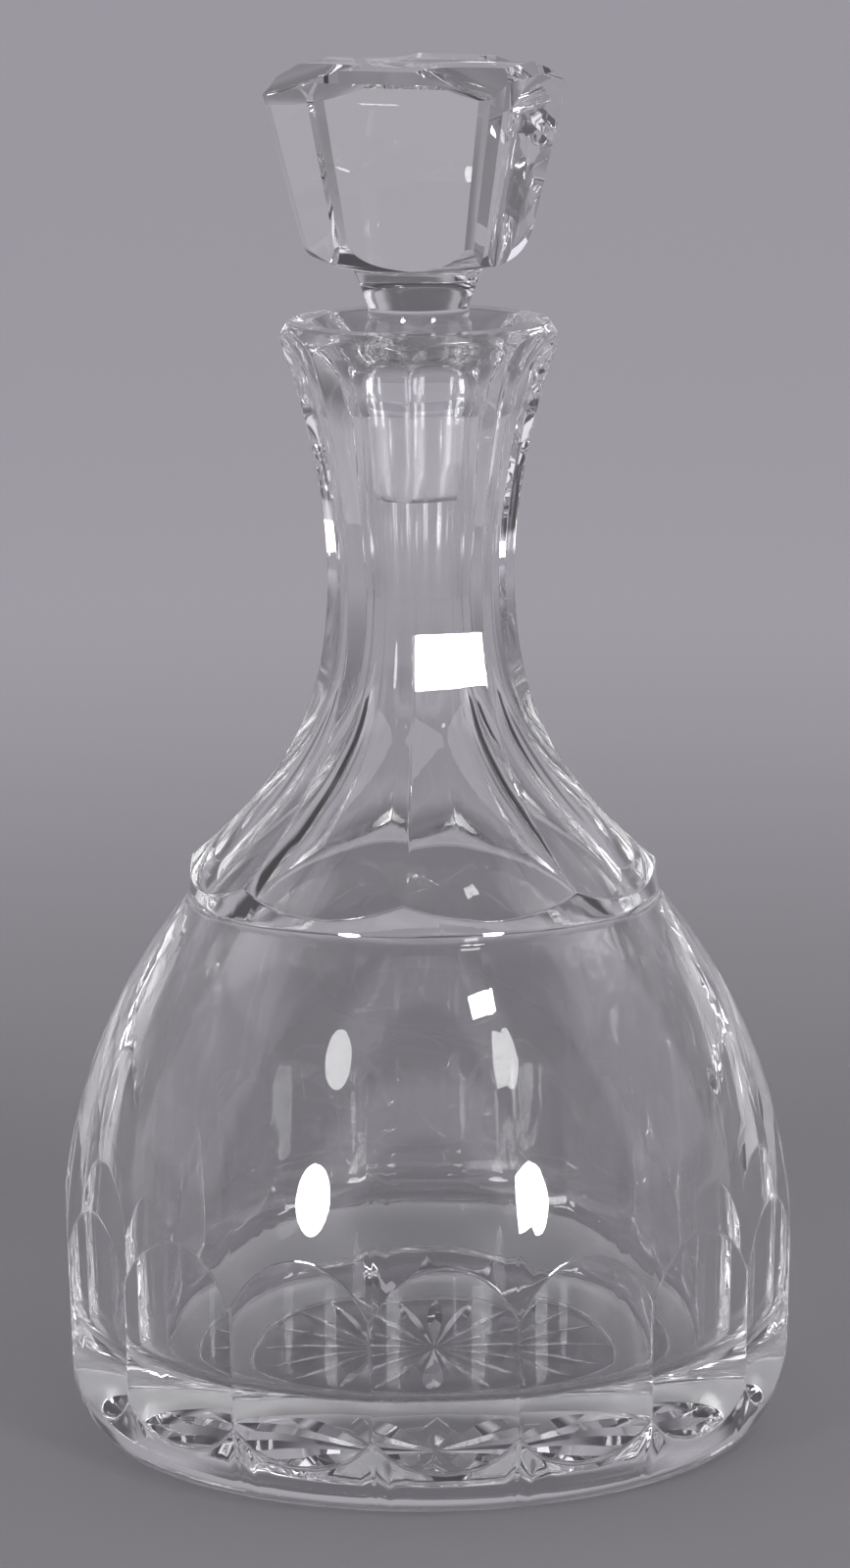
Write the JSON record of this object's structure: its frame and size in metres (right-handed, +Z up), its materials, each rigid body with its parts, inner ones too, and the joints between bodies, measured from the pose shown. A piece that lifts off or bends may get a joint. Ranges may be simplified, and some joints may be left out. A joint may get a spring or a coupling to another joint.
{
  "type": "cut glass decanter",
  "caption": "Bell-shaped cut glass decanter with a fluted neck, arched panels round the foot, a star-cut base and a square tapered glass stopper that lifts out.",
  "frame": {"origin": "centre of the foot ring, in the plane that the bottle stands on", "axes": "+Z up along the axis of the bottle and stopper, -Y towards the front of the picture, +X to its right"},
  "size_m": [0.1418, 0.1418, 0.2668],
  "materials": {
    "bottle_glass": "clear lead glass, polished cuts, ground bore",
    "stopper_glass": "clear lead glass, polished faces, ground plug"
  },
  "bodies": {
    "bottle": {"bottle": "bottle_glass"},
    "stopper": {"stopper": "stopper_glass"}
  },
  "joints": [
    {"name": "stopper_lift", "type": "slide", "parent": "bottle", "child": "stopper", "axis": [0, 0, 1], "range_m": [0, 0.08]}
  ]
}
